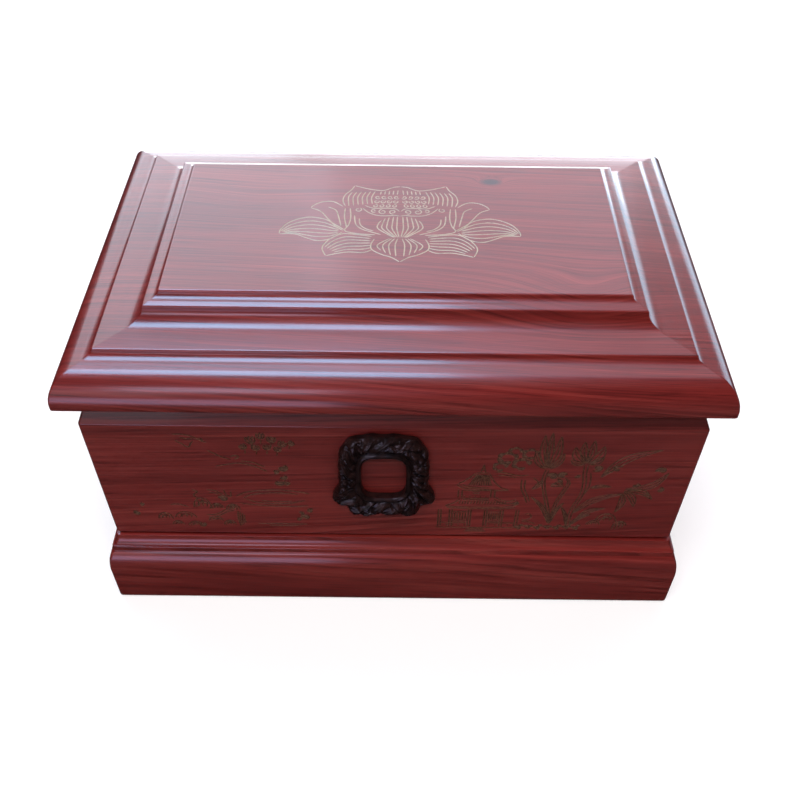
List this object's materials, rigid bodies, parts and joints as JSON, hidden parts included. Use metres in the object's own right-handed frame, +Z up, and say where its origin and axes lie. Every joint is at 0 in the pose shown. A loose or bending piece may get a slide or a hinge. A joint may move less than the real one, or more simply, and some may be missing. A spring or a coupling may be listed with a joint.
{
  "type": "wooden keepsake urn box",
  "caption": "Hollow rosewood-red box on a moulded plinth, with a stepped lift-off lid and a small dark carved picture frame on its front",
  "frame": {"origin": "centre of the underside, on the surface that the box stands on", "axes": "+X along the box's length, -Y out of its front with the carved frame, +Z up"},
  "size_m": [0.302, 0.1924, 0.1822],
  "materials": {
    "lacquered_rosewood": "satin gloss lacquer over red rosewood grain",
    "unfinished_board": "plain sanded board",
    "dark_carving": "near-black brown gloss on cast resin"
  },
  "bodies": {
    "root": {"lid": "lacquered_rosewood", "case_front": "lacquered_rosewood", "case_back": "lacquered_rosewood", "case_left": "lacquered_rosewood", "case_right": "lacquered_rosewood", "plinth_front": "lacquered_rosewood", "plinth_back": "lacquered_rosewood", "plinth_left": "lacquered_rosewood", "plinth_right": "lacquered_rosewood", "bottom_board": "unfinished_board", "carved_frame": "dark_carving"}
  },
  "joints": []
}
